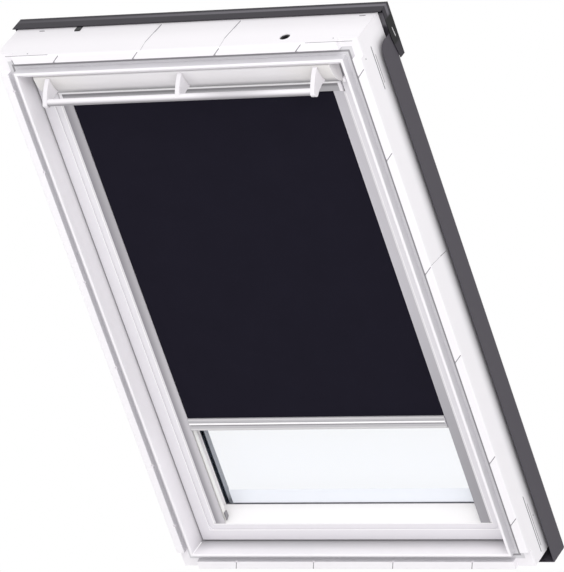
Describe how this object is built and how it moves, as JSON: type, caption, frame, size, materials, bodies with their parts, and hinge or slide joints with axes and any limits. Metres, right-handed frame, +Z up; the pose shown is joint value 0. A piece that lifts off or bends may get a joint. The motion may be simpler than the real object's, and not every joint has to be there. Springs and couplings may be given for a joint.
{
  "type": "roof window with roller blind",
  "caption": "Centre-pivot roof window with white frame, dark outer covers, control bar and a blackout roller blind running in side rails inside the sash.",
  "frame": {"origin": "middle of the frame's flat bottom face, 40 mm behind the frame's room-side edge", "axes": "+X to the right seen from the room, +Y from the room outwards, +Z up the roof slope"},
  "size_m": [0.7976, 0.17, 1.211],
  "materials": {
    "white_coat": "satin white lacquered polyurethane skin",
    "sash_coat": "satin white lacquered polyurethane skin",
    "timber": "bare softwood core",
    "dark_sheet": "dark grey coated sheet",
    "black_plastic": "matt black moulded",
    "grey_rubber": "grey seal",
    "steel": "zinc plated",
    "glass": "clear float glass",
    "flap_coat": "warm white coated",
    "aluminium": "natural anodised",
    "blackout_fabric": "dark navy blackout cloth"
  },
  "bodies": {
    "frame": {"frame_core_bottom": "timber", "frame_core_left": "timber", "frame_core_right": "timber", "frame_core_top": "timber", "frame_cover_bottom": "dark_sheet", "frame_cover_left": "dark_sheet", "frame_cover_right": "dark_sheet", "frame_cover_top": "dark_sheet", "frame_hinge_left": "steel", "frame_hinge_right": "steel", "frame_moulding": "white_coat", "frame_seal": "grey_rubber", "top_cover_clip": "black_plastic", "cable_grommet": "black_plastic", "latch_striker": "steel", "bolt_bush_top": "steel", "bolt_bush_bottom": "steel"},
    "sash": {"sash_core_bottom": "timber", "sash_core_left": "timber", "sash_core_right": "timber", "sash_core_top": "timber", "sash_cover_bottom": "dark_sheet", "sash_cover_left": "dark_sheet", "sash_cover_right": "dark_sheet", "sash_cover_top": "dark_sheet", "sash_hinge_left": "steel", "sash_hinge_right": "steel", "sash_moulding": "sash_coat", "inner_pane": "glass", "outer_pane": "glass", "spacer_bar": "black_plastic", "edge_seal": "grey_rubber", "glazing_seal": "grey_rubber", "lock_case": "steel", "flap_lug_left": "white_coat", "flap_lug_right": "white_coat", "blind_casing": "aluminium", "casing_cap_left": "white_coat", "casing_cap_right": "white_coat", "side_rail_left": "aluminium", "side_rail_right": "aluminium", "rail_clip_left": "black_plastic", "rail_clip_right": "black_plastic"},
    "flap": {"ventilation_flap": "flap_coat", "control_bar": "white_coat", "bar_arm_left": "white_coat", "bar_arm_middle": "white_coat", "bar_arm_right": "white_coat"},
    "latch": {"latch_tongue": "steel"},
    "bolt": {"barrel_bolt": "steel"},
    "roller": {"roller_tube": "aluminium", "fabric_roll": "blackout_fabric", "roller_plug_left": "black_plastic", "roller_plug_right": "black_plastic"},
    "blind": {"bottom_bar": "aluminium", "bar_slider_left": "black_plastic", "bar_slider_right": "black_plastic", "blind_fabric": "blackout_fabric"}
  },
  "joints": [
    {"name": "sash_pivot", "type": "hinge", "parent": "frame", "child": "sash", "pos_m": [0, 0.03, 0.589], "axis": [1, 0, 0], "range_deg": [0, 180]},
    {"name": "flap_hinge", "type": "hinge", "parent": "sash", "child": "flap", "pos_m": [0, -0.0085, 1.081], "axis": [1, 0, 0], "range_deg": [0, 45]},
    {"name": "latch_slide", "type": "slide", "parent": "sash", "child": "latch", "axis": [0, 0, 1], "range_m": [-0.006, 0]},
    {"name": "bolt_slide", "type": "slide", "parent": "sash", "child": "bolt", "axis": [0, 0, 1], "range_m": [0, 0.012]},
    {"name": "blind_slide", "type": "slide", "parent": "sash", "child": "blind", "axis": [0, 0, 1], "range_m": [-0.216, 0.722], "deforming": ["blind_fabric"]},
    {"name": "roller_spin", "type": "hinge", "parent": "sash", "child": "roller", "pos_m": [0, 0.0122, 1.062], "axis": [1, 0, 0], "range_deg": [-4140, 1240]}
  ],
  "couplings": [
    {"joint": "latch_slide", "follows": "flap_hinge", "m_per_rad": -0.00763},
    {"joint": "roller_spin", "follows": "blind_slide", "rad_per_m": -100}
  ]
}
